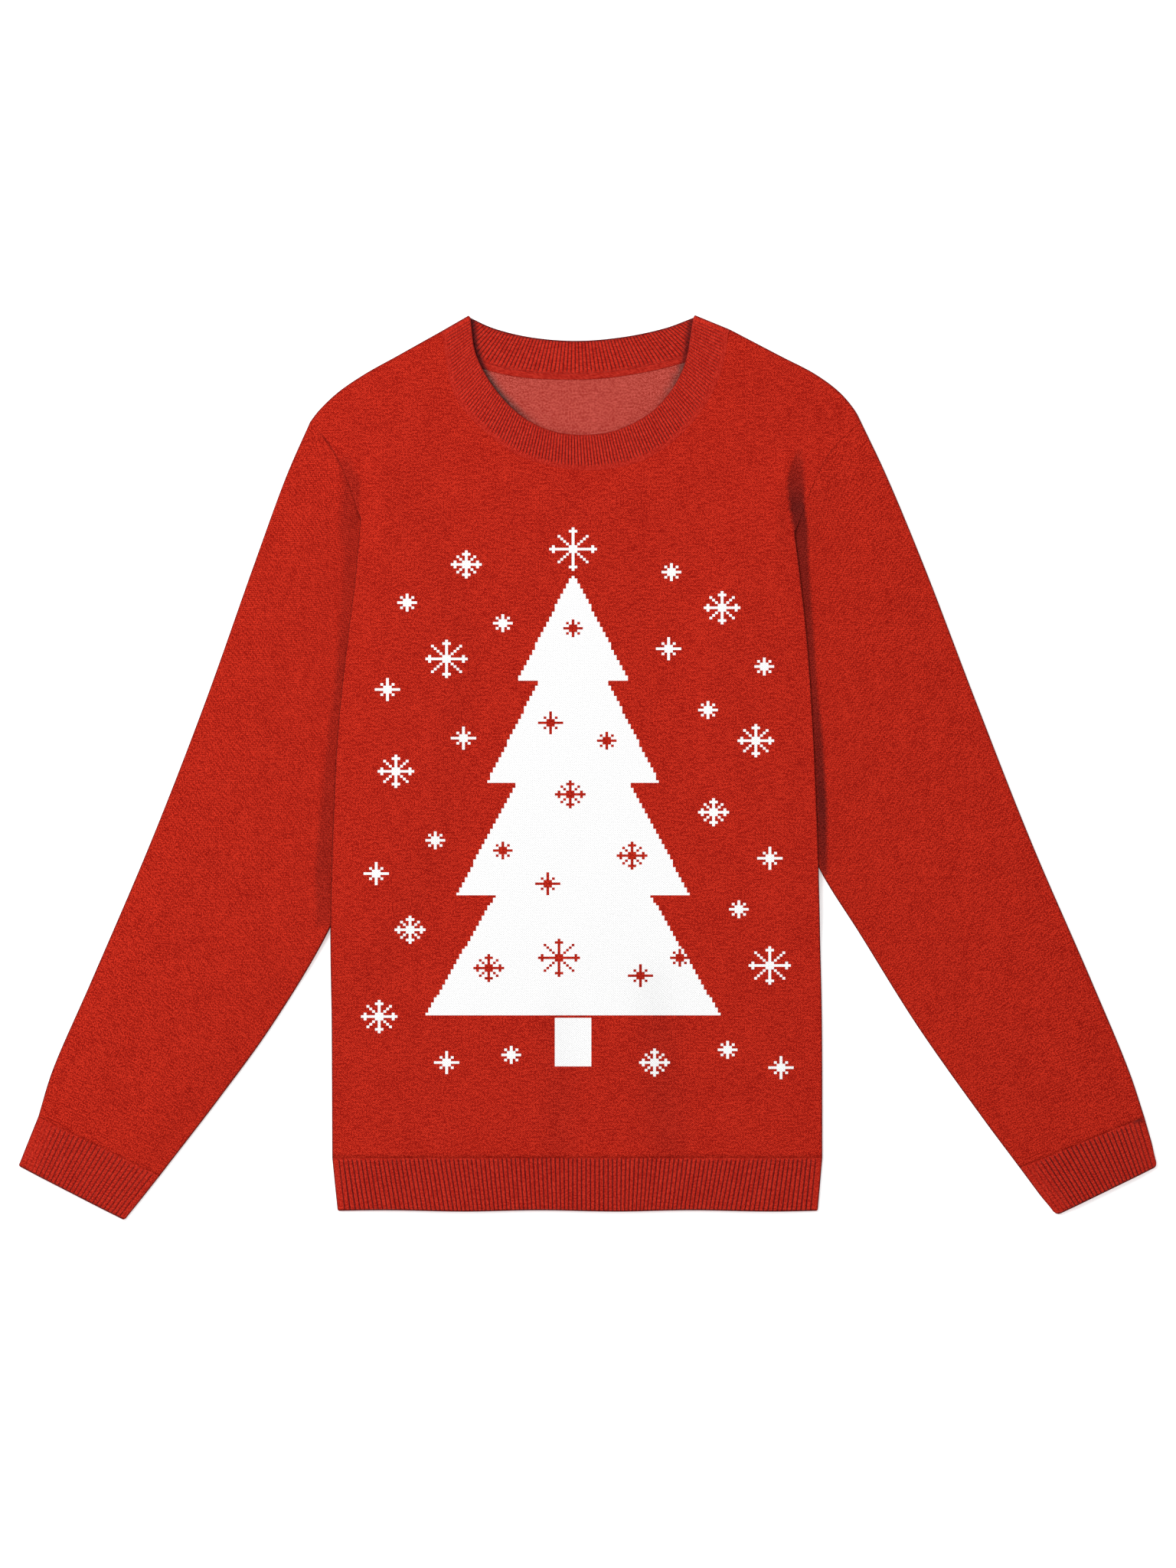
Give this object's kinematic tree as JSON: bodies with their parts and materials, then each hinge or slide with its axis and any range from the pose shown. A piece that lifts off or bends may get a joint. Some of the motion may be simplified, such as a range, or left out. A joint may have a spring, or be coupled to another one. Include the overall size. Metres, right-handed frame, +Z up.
{
  "type": "crew-neck knitted sweater",
  "caption": "Crew-neck knitted sweater laid flat, with long set-in sleeves swung down beside the body and ribbed collar, cuffs and hem.",
  "frame": {"origin": "middle of the laid garment's bounding box, on the surface it lies on", "axes": "+X to the viewer's right across the sleeves, +Y from the hem to the neck, +Z up from the surface"},
  "size_m": [0.8924, 0.7083, 0.0098],
  "materials": {
    "body_knit": "fine red jersey knit with a white charted design",
    "inside_knit": "lighter wrong side of the red knit",
    "sleeve_knit": "fine red jersey knit",
    "rib_knit": "red rib knit",
    "collar_knit": "red rib knit with a plain linking band"
  },
  "bodies": {
    "root": {"front_panel": "body_knit", "back_panel": "inside_knit", "sleeve_left": "sleeve_knit", "sleeve_right": "sleeve_knit", "cuff_left": "rib_knit", "cuff_right": "rib_knit", "hem_rib": "rib_knit", "collar": "collar_knit"}
  },
  "joints": []
}
